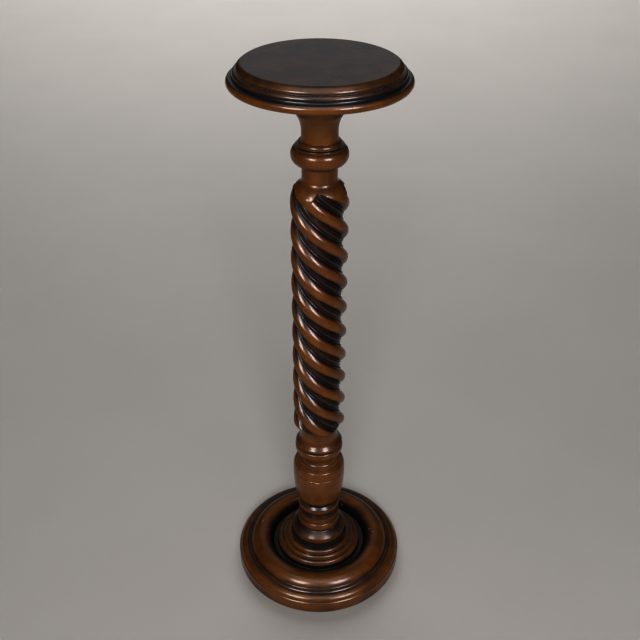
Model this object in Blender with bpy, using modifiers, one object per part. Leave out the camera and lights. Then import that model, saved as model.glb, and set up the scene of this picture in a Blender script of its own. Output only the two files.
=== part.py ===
"""A vase stand in turned hardwood: a moulded round top, a column with a four-start twist, and a moulded base.

Every outline is drawn from the top down as radius and height, and is then turned about the Z axis.
The origin is in the middle of the underside, and the front of the stand faces -Y.
A bulge is the rise of a moulding's curve over its chord: above zero swells out, below zero is hollow.
"""
import math

import bpy

MM = 0.001
QUARTER_ROUND = math.tan(math.pi / 8) / 2
HALF_ROUND = 0.5
SHARP_ANGLE = math.radians(50)

# The whole stand.
STAND_HEIGHT = 920 * MM
JOINT_GAP = 0.3 * MM
FILLET = 1.2 * MM

# The round top.
TOP_THICKNESS = 29 * MM
TOP_RADIUS = 125 * MM
TOP_EDGE_DROP = 6.5 * MM
TOP_EDGE_WIDTH = 5.5 * MM
TOP_EDGE_BULGE = 0.18
TOP_BEAD_WIDTH = 4.5 * MM
TOP_BEAD_DROP = 5 * MM
TOP_BEAD_BULGE = 0.25
TOP_COVE_WIDTH = 2.3 * MM
TOP_COVE_DROP = 3.1 * MM
TOP_SIDES = 40

# The column's capital, necks and knop.
CAPITAL_RADIUS = 46 * MM
CAPITAL_BAND = 7 * MM
CAPITAL_FLARE = 62 * MM
CAPITAL_UPPER_SHARE = 0.55
CAPITAL_UPPER_BULGE = -0.12
CAPITAL_LOWER_BULGE = -0.08
CAPITAL_WAIST_SHARE = 0.35
NECK_RADIUS = 26 * MM
NECK_HEIGHT = 9.3 * MM
COLLAR_RADIUS = 31.2 * MM
COLLAR_HEIGHT = 6.2 * MM
COLLAR_BULGE = 0.18
COLLAR_BEAD_RADIUS = 34.6 * MM
COLLAR_BEAD_HEIGHT = 3.4 * MM
COLLAR_BEAD_BULGE = 0.3
KNOP_RADIUS = 41 * MM
KNOP_HEIGHT = 26 * MM
KNOP_UPPER_SHARE = 0.43
KNOP_UPPER_BULGE = 0.15
KNOP_LOWER_BULGE = 0.18
LOWER_NECK_RADIUS = 25.7 * MM
LOWER_NECK_HEIGHT = 23.8 * MM

# The shaft and its twist.
SHAFT_RADIUS = 42.6 * MM
SHOULDER_HEIGHT = 31 * MM
SHOULDER_BULGE = 0.13
SHAFT_FOOT_ROUND = 8 * MM
TWIST_STARTS = 4
TWIST_LEAD = 177.2 * MM
TWIST_PHASE = math.radians(-11.2)
TWIST_ROW = 13 * MM
POINTS_PER_START = 8
HOLLOW_DEPTH = 9.7 * MM
HOLLOW_FLOOR_DEPTH = 7.2 * MM
HOLLOW_FLOOR_SHARE = 0.42
HOLLOW_SHARE = 0.8
HOLLOW_FLANK_POWER = 1.5
HOLLOW_HEAD_DROP = 9.5 * MM
HOLLOW_END_LENGTH = 5 * MM
HOLLOW_FOOT_RISE = 2 * MM

# The column below the shaft.
DOME_NECK_RADIUS = 31.8 * MM
DOME_NECK_HEIGHT = 28 * MM
DOME_RADIUS = 38 * MM
DOME_HEIGHT = 13.5 * MM
DOME_BULGE = 0.2
BAND_RADIUS = 39.7 * MM
BAND_HEIGHT = 9.5 * MM
COVE_RADIUS = 31 * MM
COVE_HEIGHT = 21 * MM
COVE_UPPER_BULGE = -0.05
COVE_LOWER_BULGE = -0.12
STEP_RADIUS = 35.6 * MM
STEP_HEIGHT = 5.5 * MM
VASE_RADIUS = 44.2 * MM
VASE_HEIGHT = 92 * MM
VASE_SHOULDER_HEIGHT = 18.5 * MM
VASE_SHOULDER_BULGE = 0.08
VASE_FOOT_RADIUS = 40.5 * MM
VASE_BODY_SHARE = 0.83
VASE_BODY_BULGE = 0.02
VASE_FOOT_BULGE = 0.15
RING_RADIUS = 35.6 * MM
RING_HEIGHT = 22 * MM
RING_UPPER_BULGE = 0.15
RING_LOWER_BULGE = 0.1
SCOTIA_RADIUS = 31 * MM
SCOTIA_HEIGHT = 11 * MM
SCOTIA_UPPER_SHARE = 0.4
COLLARET_RADIUS = 36.2 * MM
COLLARET_HEIGHT = 12 * MM
COLLARET_BULGE = 0.15
BEAD_RADIUS = 37.4 * MM
BEAD_HEIGHT = 16.5 * MM
FLARE_RADIUS = 47.5 * MM
FLARE_HEIGHT = 18 * MM
FLARE_UPPER_SHARE = 0.65
FLARE_BULGE = 0.08
FOOT_RADIUS = 50 * MM
FOOT_NECK_RADIUS = 44.5 * MM
FOOT_HEIGHT = 11.2 * MM
FOOT_NECK_SHARE = 0.4
FOOT_BULGE = -0.2

# The base.
BASE_RADIUS = 146.3 * MM
BASE_SEAT_HEIGHT = 54 * MM
SEAT_RIM_WIDTH = 1.5 * MM
SEAT_RINGS = 3
SEAT_RING_WIDTH = 7.8 * MM
SEAT_RING_DROP = 5.7 * MM
SEAT_RING_BULGE = 0.3
CHANNEL_WIDTH = 10 * MM
CHANNEL_DEPTH = 8 * MM
CHANNEL_FLAT_SHARE = 0.6
BASE_ROUND_RISE = 10.5 * MM
BASE_FILLET_WIDTH = 5 * MM
BASE_OVOLO_WIDTH = 15 * MM
BASE_OVOLO_DROP = 8.5 * MM
BASE_OVOLO_BULGE = 0.16
BASE_LEDGE_WIDTH = 1.6 * MM
BASE_EDGE_HEIGHT = 21.7 * MM
BASE_EASED_EDGE = 1.5 * MM
BASE_SIDES = 40

# The lacquered wood of each piece.
LACQUER_ROUGHNESS = 0.2
TOP_COLOUR = (0.10, 0.03, 0.012)
COLUMN_COLOUR = (0.14, 0.04, 0.012)
BASE_COLOUR = (0.13, 0.035, 0.012)

SEAT_RADIUS = FOOT_RADIUS + SEAT_RIM_WIDTH
COLUMN_FOOT = BASE_SEAT_HEIGHT + JOINT_GAP
COLUMN_HEAD = STAND_HEIGHT - TOP_THICKNESS - JOINT_GAP


def clear_scene():
    """Removes whatever the file holds."""
    for item in list(bpy.data.objects):
        bpy.data.objects.remove(item, do_unlink=True)


def lacquered_wood(name, colour):
    """A plain lacquered finish for one piece."""
    material = bpy.data.materials.new(name)
    material.use_nodes = True
    shader = material.node_tree.nodes["Principled BSDF"]
    shader.inputs["Base Color"].default_value = (*colour, 1)
    shader.inputs["Roughness"].default_value = LACQUER_ROUGHNESS
    shader.inputs["Metallic"].default_value = 0
    return material


def go_to(outline, radius, height):
    """Ends a straight run at a radius and a height."""
    outline.append((radius, height))


def go_down(outline, radius, drop, bulge=0.0, steps=1):
    """Ends a moulding at a radius, lower down by drop; a bulge bends it in so many steps."""
    start_radius, start_height = outline[-1]
    if bulge == 0:
        go_to(outline, radius, start_height - drop)
        return
    run = radius - start_radius
    chord = math.hypot(run, drop)
    half_turn = 2 * math.atan(2 * bulge)
    curve_radius = chord / (2 * math.sin(abs(half_turn)))
    side = math.copysign(curve_radius * math.cos(half_turn), bulge)
    centre_radius = start_radius + run / 2 - drop / chord * side
    centre_height = start_height - drop / 2 - run / chord * side
    first = math.atan2(start_height - centre_height, start_radius - centre_radius)
    for step in range(1, steps + 1):
        angle = first - 2 * half_turn * step / steps
        x = centre_radius + curve_radius * math.cos(angle)
        go_to(outline, x, centre_height + curve_radius * math.sin(angle))


def turned(name, outline, sides, material, collection):
    """Turns an outline about the Z axis into a named object."""
    mesh = bpy.data.meshes.new(name)
    points = [(radius, 0, height) for radius, height in outline]
    edges = [(i, i + 1) for i in range(len(points) - 1)]
    mesh.from_pydata(points, edges, [])
    mesh.materials.append(material)
    piece = bpy.data.objects.new(name, mesh)
    collection.objects.link(piece)
    screw = piece.modifiers.new("Turning", "SCREW")
    screw.steps = sides
    screw.render_steps = sides
    screw.use_merge_vertices = True
    screw.merge_threshold = 0.00001
    screw.use_smooth_shade = True
    return piece


def top_outline():
    """The top: a flat, an eased edge, a quirk and bead, a cove, and a big half round."""
    round_height = TOP_THICKNESS - TOP_EDGE_DROP - TOP_BEAD_DROP - TOP_COVE_DROP
    round_radius = TOP_RADIUS - round_height / 2
    bead_radius = round_radius - TOP_COVE_WIDTH
    edge_radius = bead_radius - TOP_BEAD_WIDTH
    outline = [(0, STAND_HEIGHT)]
    go_to(outline, edge_radius - TOP_EDGE_WIDTH, STAND_HEIGHT)
    go_down(outline, edge_radius, TOP_EDGE_DROP, TOP_EDGE_BULGE, 2)
    go_down(outline, edge_radius, FILLET)
    go_down(outline, bead_radius, TOP_BEAD_DROP - FILLET, TOP_BEAD_BULGE, 2)
    go_down(outline, round_radius, TOP_COVE_DROP)
    go_down(outline, round_radius, round_height, HALF_ROUND, 6)
    go_to(outline, 0, STAND_HEIGHT - TOP_THICKNESS)
    return outline


def capital_and_neck(outline):
    """The band under the top, its flare, and the upper neck."""
    go_to(outline, CAPITAL_RADIUS, COLUMN_HEAD)
    go_down(outline, CAPITAL_RADIUS, CAPITAL_BAND)
    waist = NECK_RADIUS + (CAPITAL_RADIUS - NECK_RADIUS) * CAPITAL_WAIST_SHARE
    upper = CAPITAL_FLARE * CAPITAL_UPPER_SHARE
    go_down(outline, waist, upper, CAPITAL_UPPER_BULGE, 3)
    go_down(outline, NECK_RADIUS, CAPITAL_FLARE - upper, CAPITAL_LOWER_BULGE, 2)
    go_down(outline, NECK_RADIUS, NECK_HEIGHT)


def collar_and_knop(outline):
    """The collar, its thin bead, and the round knop between the two necks."""
    go_down(outline, NECK_RADIUS + FILLET, 0)
    go_down(outline, COLLAR_RADIUS, COLLAR_HEIGHT, COLLAR_BULGE, 2)
    go_down(outline, COLLAR_BEAD_RADIUS - FILLET, FILLET / 2)
    go_down(outline, COLLAR_BEAD_RADIUS, COLLAR_BEAD_HEIGHT - FILLET / 2, COLLAR_BEAD_BULGE, 2)
    upper = KNOP_HEIGHT * KNOP_UPPER_SHARE
    go_down(outline, KNOP_RADIUS, upper, KNOP_UPPER_BULGE, 2)
    go_down(outline, LOWER_NECK_RADIUS + 2 * FILLET, KNOP_HEIGHT - upper, KNOP_LOWER_BULGE, 3)


def lower_neck_and_shoulder(outline):
    """The short neck under the knop, and the shoulder that the twist is cut into."""
    go_down(outline, LOWER_NECK_RADIUS + FILLET, 2 * FILLET)
    go_down(outline, LOWER_NECK_RADIUS, FILLET / 2)
    go_down(outline, LOWER_NECK_RADIUS, LOWER_NECK_HEIGHT - 2.5 * FILLET)
    go_down(outline, SHAFT_RADIUS, SHOULDER_HEIGHT, SHOULDER_BULGE, 5)


def shaft(outline):
    """The straight part of the shaft, in even rows for the carving, and its rounded foot."""
    head = outline[-1][1]
    length = head - shaft_foot_height() - SHAFT_FOOT_ROUND
    rows = max(round(length / TWIST_ROW), 1)
    for row in range(1, rows + 1):
        go_to(outline, SHAFT_RADIUS, head - length * row / rows)
    go_down(outline, SHAFT_RADIUS - SHAFT_FOOT_ROUND, SHAFT_FOOT_ROUND, QUARTER_ROUND, 3)


def dome_and_band(outline):
    """The neck and domed bead under the shaft, and the band and cove below them."""
    go_down(outline, DOME_NECK_RADIUS, FILLET)
    go_down(outline, DOME_NECK_RADIUS, DOME_NECK_HEIGHT - FILLET)
    go_down(outline, DOME_RADIUS, DOME_HEIGHT, DOME_BULGE, 3)
    go_down(outline, BAND_RADIUS, FILLET)
    go_down(outline, BAND_RADIUS, BAND_HEIGHT - FILLET)
    go_down(outline, COVE_RADIUS, COVE_HEIGHT / 2, COVE_UPPER_BULGE, 2)
    go_down(outline, STEP_RADIUS - FILLET, COVE_HEIGHT / 2, COVE_LOWER_BULGE, 2)


def vase(outline):
    """The two small steps and the vase-shaped swelling."""
    go_down(outline, STEP_RADIUS, FILLET)
    go_down(outline, STEP_RADIUS, STEP_HEIGHT - FILLET)
    go_down(outline, STEP_RADIUS + 2 * FILLET, FILLET)
    go_down(outline, VASE_RADIUS, VASE_SHOULDER_HEIGHT, VASE_SHOULDER_BULGE, 3)
    height = VASE_HEIGHT - VASE_SHOULDER_HEIGHT - STEP_HEIGHT - FILLET
    body = height * VASE_BODY_SHARE
    go_down(outline, VASE_FOOT_RADIUS, body, VASE_BODY_BULGE, 2)
    go_down(outline, RING_RADIUS - FILLET, height - body, VASE_FOOT_BULGE, 2)


def rings_and_foot(outline):
    """The rings, bead, flare and foot that the column stands on."""
    go_down(outline, RING_RADIUS, RING_HEIGHT / 2, RING_UPPER_BULGE, 2)
    go_down(outline, RING_RADIUS - FILLET, RING_HEIGHT / 2, RING_LOWER_BULGE, 2)
    upper_scotia = SCOTIA_HEIGHT * SCOTIA_UPPER_SHARE
    go_down(outline, SCOTIA_RADIUS, upper_scotia)
    go_down(outline, SCOTIA_RADIUS + FILLET, SCOTIA_HEIGHT - upper_scotia)
    go_down(outline, COLLARET_RADIUS, COLLARET_HEIGHT, COLLARET_BULGE, 2)
    quirk_radius = COLLARET_RADIUS - FILLET
    go_down(outline, quirk_radius, FILLET)
    bead_bulge = (BEAD_RADIUS - quirk_radius) / BEAD_HEIGHT
    go_down(outline, quirk_radius, BEAD_HEIGHT - FILLET, bead_bulge, 3)
    upper_flare = FLARE_HEIGHT * FLARE_UPPER_SHARE
    go_down(outline, FLARE_RADIUS, upper_flare, FLARE_BULGE, 2)
    go_down(outline, FLARE_RADIUS, FLARE_HEIGHT - upper_flare)
    neck = FOOT_HEIGHT * FOOT_NECK_SHARE
    go_down(outline, FOOT_NECK_RADIUS, neck)
    go_down(outline, FOOT_RADIUS, FOOT_HEIGHT - neck, FOOT_BULGE, 2)


def shoulder_height():
    """Where the shoulder begins, under the lower neck."""
    capital = CAPITAL_BAND + CAPITAL_FLARE + NECK_HEIGHT
    return COLUMN_HEAD - capital - COLLAR_HEIGHT - COLLAR_BEAD_HEIGHT - KNOP_HEIGHT - LOWER_NECK_HEIGHT


def shaft_foot_height():
    """Where the shaft ends, on the neck above the dome."""
    foot = FOOT_HEIGHT + FLARE_HEIGHT + BEAD_HEIGHT + COLLARET_HEIGHT + SCOTIA_HEIGHT + RING_HEIGHT
    return COLUMN_FOOT + foot + VASE_HEIGHT + COVE_HEIGHT + BAND_HEIGHT + DOME_HEIGHT + DOME_NECK_HEIGHT


def column_outline():
    """The whole column before it is carved."""
    outline = [(0, COLUMN_HEAD)]
    capital_and_neck(outline)
    collar_and_knop(outline)
    lower_neck_and_shoulder(outline)
    shaft(outline)
    dome_and_band(outline)
    vase(outline)
    rings_and_foot(outline)
    go_to(outline, 0, COLUMN_FOOT)
    return outline


def base_outline():
    """The base: the seat's rings, a deep channel, a broad round, a fillet and an ovolo over a plain edge."""
    outline = [(0, BASE_SEAT_HEIGHT)]
    go_to(outline, SEAT_RADIUS, BASE_SEAT_HEIGHT)
    for _ in range(SEAT_RINGS):
        radius = outline[-1][0]
        go_down(outline, radius + SEAT_RING_WIDTH - FILLET, SEAT_RING_DROP, SEAT_RING_BULGE, 2)
        go_down(outline, radius + SEAT_RING_WIDTH, 0)
    channel_radius = outline[-1][0] + FILLET
    go_down(outline, channel_radius, CHANNEL_DEPTH)
    go_down(outline, channel_radius + CHANNEL_WIDTH * CHANNEL_FLAT_SHARE, 0)
    ovolo_end = BASE_RADIUS - BASE_LEDGE_WIDTH
    fillet_end = ovolo_end - BASE_OVOLO_WIDTH
    round_end = fillet_end - BASE_FILLET_WIDTH - FILLET
    round_start = channel_radius + CHANNEL_WIDTH
    round_foot = BASE_EDGE_HEIGHT + BASE_OVOLO_DROP + 4 * FILLET
    go_to(outline, round_start, round_foot + FILLET)
    go_down(outline, round_end, FILLET, BASE_ROUND_RISE / (round_end - round_start), 7)
    go_down(outline, round_end + FILLET, FILLET)
    go_down(outline, fillet_end, FILLET)
    go_down(outline, fillet_end + FILLET, FILLET)
    go_down(outline, ovolo_end, BASE_OVOLO_DROP, BASE_OVOLO_BULGE, 2)
    go_down(outline, BASE_RADIUS, FILLET)
    go_to(outline, BASE_RADIUS, BASE_EASED_EDGE)
    go_to(outline, BASE_RADIUS - BASE_EASED_EDGE, 0)
    go_to(outline, 0, 0)
    return outline


def hollow_depth(turn):
    """How deep the twist's hollow is, from 0 at its middle to 0.5 at the middle of a strand."""
    across = abs(turn) / (HOLLOW_SHARE / 2)
    if across >= 1:
        return 0.0
    if across <= HOLLOW_FLOOR_SHARE:
        return HOLLOW_DEPTH + (HOLLOW_FLOOR_DEPTH - HOLLOW_DEPTH) * across / HOLLOW_FLOOR_SHARE
    flank = (1 - across) / (1 - HOLLOW_FLOOR_SHARE)
    return HOLLOW_FLOOR_DEPTH * math.sin(flank * math.pi / 2) ** HOLLOW_FLANK_POWER


def carve_twist(mesh, head, foot):
    """Turns each point round with the lead, and moves it in to the hollow's floor."""
    for vert in mesh.vertices:
        x, y, height = vert.co
        radius = math.hypot(x, y)
        angle = math.atan2(y, x)
        across = angle / math.tau * TWIST_STARTS
        across -= round(across)
        turned_down = min(max(head - height, 0), head - foot)
        angle += turned_down / TWIST_LEAD * math.tau + TWIST_PHASE
        if foot < height < head:
            fade = min((head - height) / HOLLOW_END_LENGTH, (height - foot) / HOLLOW_END_LENGTH, 1)
            radius = min(radius, SHAFT_RADIUS - hollow_depth(across) * fade)
        vert.co = (radius * math.cos(angle), radius * math.sin(angle), height)


def carved_column(collection):
    """The column, turned first and then carved with the twist."""
    wood = lacquered_wood("column_wood", COLUMN_COLOUR)
    sides = TWIST_STARTS * POINTS_PER_START
    blank = turned("column_blank", column_outline(), sides, wood, collection)
    graph = bpy.context.evaluated_depsgraph_get()
    mesh = bpy.data.meshes.new_from_object(blank.evaluated_get(graph))
    bpy.data.objects.remove(blank)
    mesh.name = "column"
    carve_twist(mesh, shoulder_height() - HOLLOW_HEAD_DROP, shaft_foot_height() + HOLLOW_FOOT_RISE)
    mesh.shade_smooth()
    mesh.set_sharp_from_angle(angle=SHARP_ANGLE)
    collection.objects.link(bpy.data.objects.new("column", mesh))


def build():
    """Builds the stand's three pieces."""
    collection = bpy.data.collections.new("vase_stand")
    bpy.context.scene.collection.children.link(collection)
    turned("top", top_outline(), TOP_SIDES, lacquered_wood("top_wood", TOP_COLOUR), collection)
    carved_column(collection)
    turned("base", base_outline(), BASE_SIDES, lacquered_wood("base_wood", BASE_COLOUR), collection)


clear_scene()
build()
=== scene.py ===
"""The looks of a turned vase stand: fine mouldings, the carved twist with its reeds, and worn dark lacquer.

Everything is in metres. Outlines are drawn from the top down, as radius and height, and are spun about
the Z axis. A bulge is the rise of a moulding's curve over its chord: above zero swells out, below zero is
hollow.
Dark is how much black patina lies on the polish, together with painted shade in quirks, coves, recesses and
undersides, from 0 to 1.
"""
import math

import bpy
import numpy as np
from mathutils import Matrix, Vector
from mathutils.kdtree import KDTree


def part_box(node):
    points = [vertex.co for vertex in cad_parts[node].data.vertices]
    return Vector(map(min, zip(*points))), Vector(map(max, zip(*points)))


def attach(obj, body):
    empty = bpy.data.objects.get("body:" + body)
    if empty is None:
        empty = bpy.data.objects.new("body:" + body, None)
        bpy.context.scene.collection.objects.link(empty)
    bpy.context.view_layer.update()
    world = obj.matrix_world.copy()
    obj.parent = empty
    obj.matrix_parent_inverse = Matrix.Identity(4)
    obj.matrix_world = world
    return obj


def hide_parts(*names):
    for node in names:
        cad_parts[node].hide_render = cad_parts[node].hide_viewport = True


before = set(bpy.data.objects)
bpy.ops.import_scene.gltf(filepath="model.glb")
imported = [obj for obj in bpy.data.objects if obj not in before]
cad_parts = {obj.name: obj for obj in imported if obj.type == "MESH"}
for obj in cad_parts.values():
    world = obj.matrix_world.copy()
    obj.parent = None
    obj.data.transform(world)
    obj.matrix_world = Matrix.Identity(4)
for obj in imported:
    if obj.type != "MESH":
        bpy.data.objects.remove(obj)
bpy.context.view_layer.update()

MM = 0.001
QUARTER_ROUND = math.tan(math.pi / 8) / 2
HALF_ROUND = 0.5
FILLET = 1.2 * MM
SMOOTHNESS = 0.02 * MM
FEWEST_STEPS = 6
EASED_CORNER = 0.3 * MM
EASED_CORNER_STEPS = 2
MERGE_DISTANCE = EASED_CORNER / 100
SHARP_CORNER = math.radians(28)
SMOOTH_ANGLE = math.radians(35)
# Darkness at an outline's first point, how wide the dark of patina and painted shade stays at corners, and
# the painted shade put into every quirk.
START_DARKNESS = 0.6
CORNER_PATINA_AND_SHADE = 0.6 * MM
LONG_RUN = 3 * CORNER_PATINA_AND_SHADE
QUIRK_PATINA_AND_SHADE = 0.75
DISC_SIDES = 256

# The round top.
TOP_EDGE_DROP = 8.2 * MM
TOP_EDGE_WIDTH = 8.2 * MM
TOP_EDGE_TURN_DROP = 3.7 * MM
TOP_EDGE_TURN_WIDTH = 1.2 * MM
TOP_EDGE_BULGE = 0.05
TOP_EDGE_TURN_BULGE = 0.11
TOP_BEAD_WIDTH = 4.8 * MM
TOP_BEAD_DROP = 7.2 * MM
TOP_BEAD_BULGE = 0.27
TOP_COVE_WIDTH = 2.8 * MM
TOP_COVE_DROP = 2.9 * MM
TOP_COVE_BULGE = -0.25
TOP_ROUND_HANG = 1.4 * MM

# The capital, necks and knop.
CAPITAL_RADIUS = 46 * MM
CAPITAL_BAND = 7 * MM
CAPITAL_FLARE = 62 * MM
CAPITAL_UPPER_SHARE = 0.55
CAPITAL_UPPER_BULGE = -0.12
CAPITAL_LOWER_BULGE = -0.08
CAPITAL_WAIST_SHARE = 0.35
NECK_RADIUS = 26 * MM
NECK_HEIGHT = 9.3 * MM
COLLAR_RADIUS = 31.2 * MM
COLLAR_HEIGHT = 6.2 * MM
COLLAR_BULGE = 0.2
COLLAR_BEAD_RADIUS = 34.6 * MM
COLLAR_BEAD_HEIGHT = 3.4 * MM
COLLAR_BEAD_BULGE = 0.35
KNOP_RADIUS = 41 * MM
KNOP_HEIGHT = 26 * MM
KNOP_UPPER_SHARE = 0.43
KNOP_UPPER_BULGE = 0.17
KNOP_LOWER_BULGE = 0.2
LOWER_NECK_RADIUS = 25.7 * MM
LOWER_NECK_HEIGHT = 23.8 * MM
LOWER_NECK_QUIRK_HEIGHT = 2 * FILLET
LOWER_NECK_STEP_HEIGHT = FILLET / 2

# The shaft and its twist, whose section is measured across in shares of the pitch from a hollow's middle.
SHAFT_RADIUS = 42.6 * MM
SHOULDER_HEIGHT = 31 * MM
SHOULDER_BULGE = 0.13
SHOULDER_FLARE_ABOVE = 3.3 * MM
SHOULDER_FLARE_BELOW = 4 * MM
SHOULDER_FLARE_WIDTH = 3.8 * MM
SHOULDER_FLARE_BULGE = -0.12
SHAFT_FOOT_ROUND = 8 * MM
SHAFT_ROW = 3.4 * MM
HEAD_ROW = 1.2 * MM
HEAD_ROWS = 10
STARTS = 4
HALF_PITCH = 0.5
LEAD = 177.2 * MM
PHASE = math.radians(-11.2)
POINTS_PER_START = 48
POINTS_IN_HOLLOW = 32
HOLLOW_EDGE = 0.19
HOLLOW_HEAD_DROP = 9.5 * MM
HOLLOW_END_LENGTH = 2.5 * MM
STRAND_DEPTH = 7.4 * MM
STRAND_POWER = 1.3
HALF_HOLLOW_PARTS = 18
MIDDLE_QUIRK_PARTS = 9
SIDE_QUIRK_PARTS = 17
MIDDLE_QUIRK = HOLLOW_EDGE * MIDDLE_QUIRK_PARTS / HALF_HOLLOW_PARTS
SIDE_QUIRK = HOLLOW_EDGE * SIDE_QUIRK_PARTS / HALF_HOLLOW_PARTS
MIDDLE_REED_DEPTH = 9.0 * MM
SIDE_REED_DEPTH = 7.6 * MM
REED_RISE = 1.2 * MM
QUIRK_WIDTH = 0.008
QUIRK_DEPTH = 1.1 * MM
# The hollows are dark with patina and painted shade; their reeds' quirks get more painted shade.
HOLLOW_DARKNESS = 0.75
QUIRK_SHADE_DARKNESS = 0.25
UNCUT_DARKNESS = 0.5

# How far from a hollow's middle its patina and painted shade begin, and where they are full, to the left and
# to the right; the wider fade on the right is painted shade on each strand's lower flank.
LEFT_PATINA_AND_SHADE_EDGE = (0.31, 0.25)
RIGHT_PATINA_AND_SHADE_EDGE = (0.44, 0.26)

# The column below the shaft.
DOME_NECK_RADIUS = 30.5 * MM
DOME_NECK_HEIGHT = 31.3 * MM
DOME_COVE_HEIGHT = 11.3 * MM
DOME_COVE_WIDTH = 4 * MM
DOME_COVE_BULGE = -0.1
DOME_SLOPE_RADIUS = 38.3 * MM
DOME_SLOPE_HEIGHT = 4 * MM
DOME_SLOPE_BULGE = 0.02
DOME_RADIUS = 39.4 * MM
DOME_HEIGHT = 11.4 * MM
DOME_NOSE_HEIGHT = 3.2 * MM
DOME_NOSE_BULGE = 0.08
BAND_QUIRK_RADIUS = 38.2 * MM
BAND_RADIUS = 40.1 * MM
BAND_BEAD_HEIGHT = 3.2 * MM
BAND_BEAD_BULGE = 0.17
BAND_HEIGHT = 8.3 * MM
COVE_RADIUS = 33.2 * MM
COVE_HEIGHT = 21 * MM
COVE_UPPER_SHARE = 0.6
COVE_UPPER_BULGE = 0.06
COVE_LOWER_BULGE = -0.2
STEP_RADIUS = 36.2 * MM
STEP_WIDTH = 2.3 * MM
UPPER_STEP_HEIGHT = 6.5 * MM
LOWER_STEP_HEIGHT = 4 * MM
VASE_RADIUS = 44.2 * MM
VASE_HEIGHT = 92 * MM
VASE_LIP_WIDTH = 1.8 * MM
VASE_LIP_DROP = 2.2 * MM
VASE_LIP_BULGE = 0.09
VASE_SHOULDER_DROP = 9.3 * MM
VASE_SHOULDER_BULGE = 0.043
VASE_LINE_DROP = 4.5 * MM
VASE_LINE_DEPTH = 0.7 * MM
VASE_LINE_HEIGHT = 1.2 * MM
VASE_LINE_LIP = 1.3 * MM
VASE_LINE_LIP_BULGE = 0.2
VASE_FOOT_RADIUS = 40.5 * MM
VASE_FOOT_HEIGHT = 12.5 * MM
VASE_BODY_BULGE = 0.02
VASE_FOOT_BULGE = 0.1
RING_NECK_RADIUS = 34.4 * MM
RING_HEIGHT = 22 * MM
RING_QUIRK_RADIUS = 30.8 * MM
RING_UNDERCUT = 6 * MM
RING_QUIRK_HEIGHT = 2.5 * MM
RING_SLOPE_RADIUS = 34.6 * MM
RING_SLOPE_HEIGHT = 3.3 * MM
RING_RADIUS = 35.8 * MM
RING_NOSE_HEIGHT = 3.7 * MM
RING_BULGE = 0.12
SCOTIA_RADIUS = 31 * MM
SCOTIA_HEIGHT = 11 * MM
SCOTIA_UPPER_SHARE = 0.4
COLLARET_RADIUS = 36.2 * MM
COLLARET_HEIGHT = 12 * MM
COLLARET_STEP = 1 * MM
BEAD_QUIRK_RADIUS = 34.4 * MM
BEAD_RADIUS = 37.2 * MM
BEAD_HEIGHT = 16.5 * MM
BEAD_UPPER_HEIGHT = 4.5 * MM
BEAD_UPPER_BULGE = 0.15
BEAD_LOWER_BULGE = 0.12
FLARE_NECK_RADIUS = 35.3 * MM
FLARE_NECK_HEIGHT = 1.5 * MM
FLARE_SLOPE_RADIUS = 46 * MM
FLARE_SLOPE_HEIGHT = 7.5 * MM
FLARE_SLOPE_BULGE = 0.02
FLARE_RADIUS = 47.8 * MM
FLARE_HEIGHT = 18 * MM
FLARE_NOSE_HEIGHT = 3.8 * MM
FLARE_NOSE_BULGE = 0.15
FOOT_RADIUS = 50 * MM
FOOT_NECK_RADIUS = 46.3 * MM
FOOT_HEIGHT = 11.2 * MM
FOOT_NECK_SHARE = 0.4
FOOT_BULGE = -0.03

# The base.
SEAT_RIM_WIDTH = 1.5 * MM
SEAT_RINGS = 3
SEAT_RING_WIDTH = 7.8 * MM
SEAT_RING_DROP = 5.7 * MM
SEAT_RING_BULGE = 0.3
CHANNEL_WIDTH = 10 * MM
CHANNEL_DEPTH = 8 * MM
CHANNEL_FLAT_SHARE = 0.6
BASE_ROUND_RISE = 10.5 * MM
BASE_FILLET_WIDTH = 5 * MM
BASE_FILLETS = 4
BASE_OVOLO_WIDTH = 15 * MM
BASE_OVOLO_DROP = 8.5 * MM
BASE_OVOLO_BULGE = 0.18
BASE_LEDGE_WIDTH = 1.6 * MM
BASE_EDGE_HEIGHT = 21.7 * MM
BASE_EASED_EDGE = 1.5 * MM

# The finish: MIDDLE is a noise's middle value, and a range is the part of a noise spread over 0 to 1.
ORANGE_BROWN = (0.225, 0.090, 0.012)
RED_BROWN = (0.115, 0.036, 0.006)
DEEP_BROWN = (0.040, 0.014, 0.005)
VIOLET_BLACK = (0.010, 0.008, 0.011)
NEAR_BLACK = (0.006, 0.006, 0.007)
WORN_BROWN = (0.36, 0.24, 0.14)
# Pale bare wood for worn marks, and for one painted highlight.
BARE_WOOD_AND_HIGHLIGHT = (0.55, 0.42, 0.30)
ORANGE_NICK = (0.42, 0.20, 0.05)
RED_NICK = (0.20, 0.07, 0.02)
DISC_GRAIN = (9, 1, 1)
COLUMN_GRAIN = (1, 1, 9)
MIDDLE = 0.5
FIGURE_SIZE = 14 * MM
FIGURE_RANGE = (0.35, 0.68)
FIGURE_ORANGE = 0.3
FIBRE_SIZE = 1.6 * MM
FIBRE_STRETCH = 1.6
FIBRE_RANGE = (0.3, 0.75)
FIBRE_ORANGE = 0.2
LEAST_ORANGE = 0.4
CLOUD_SIZE = 38 * MM
CLOUD_RANGE = (0.38, 0.66)
CLOUD_DEPTH = 0.25
SPECKLE_SIZE = 3.2 * MM
SPECKLE_ROUGHNESS = 0.65
DARK_CLOUDS = 0.15
DARK_SPECKLES = 0.25
DARK_RANGE = (0.05, 0.95)
NEAR_BLACK_RANGE = (0.7, 1)
WORN_RANGE = (0.35, 0.6)
WORN_PALENESS = 0.5
WOOD_ROUGHNESS = 0.4
ROUGHER_SPECKLES = 0.12
ROUGHER_WHERE_DARK = 0.06
SPECULAR_LEVEL = 0.25
COAT_WEIGHT = 0.9
COAT_LOST_TO_SPECKLES = 0.2
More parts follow.
